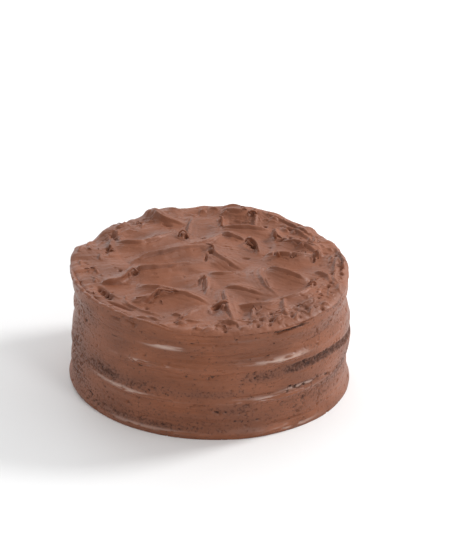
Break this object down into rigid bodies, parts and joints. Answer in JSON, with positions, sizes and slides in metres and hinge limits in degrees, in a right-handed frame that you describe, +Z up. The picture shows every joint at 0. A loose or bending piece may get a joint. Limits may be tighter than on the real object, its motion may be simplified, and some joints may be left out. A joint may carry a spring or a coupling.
{
  "type": "chocolate fudge cake",
  "caption": "Round layered chocolate fudge cake with swirled icing on top and a thin scraped side coat through which the sponge shows, standing on its flat base.",
  "frame": {"origin": "centre of the flat base of the cake, on the surface that it stands on", "axes": "+Z up through the cake, -Y towards the side that the picture shows, +X to the right in the picture"},
  "size_m": [0.1998, 0.1992, 0.0939],
  "materials": {
    "sponge": "rough dark chocolate crumb",
    "filling": "smooth satin fudge icing",
    "icing": "satin fudge icing with spatula marks"
  },
  "bodies": {
    "root": {"sponge_lower": "sponge", "sponge_middle": "sponge", "sponge_upper": "sponge", "filling_lower": "filling", "filling_upper": "filling", "side_icing": "icing", "top_icing": "icing"}
  },
  "joints": []
}
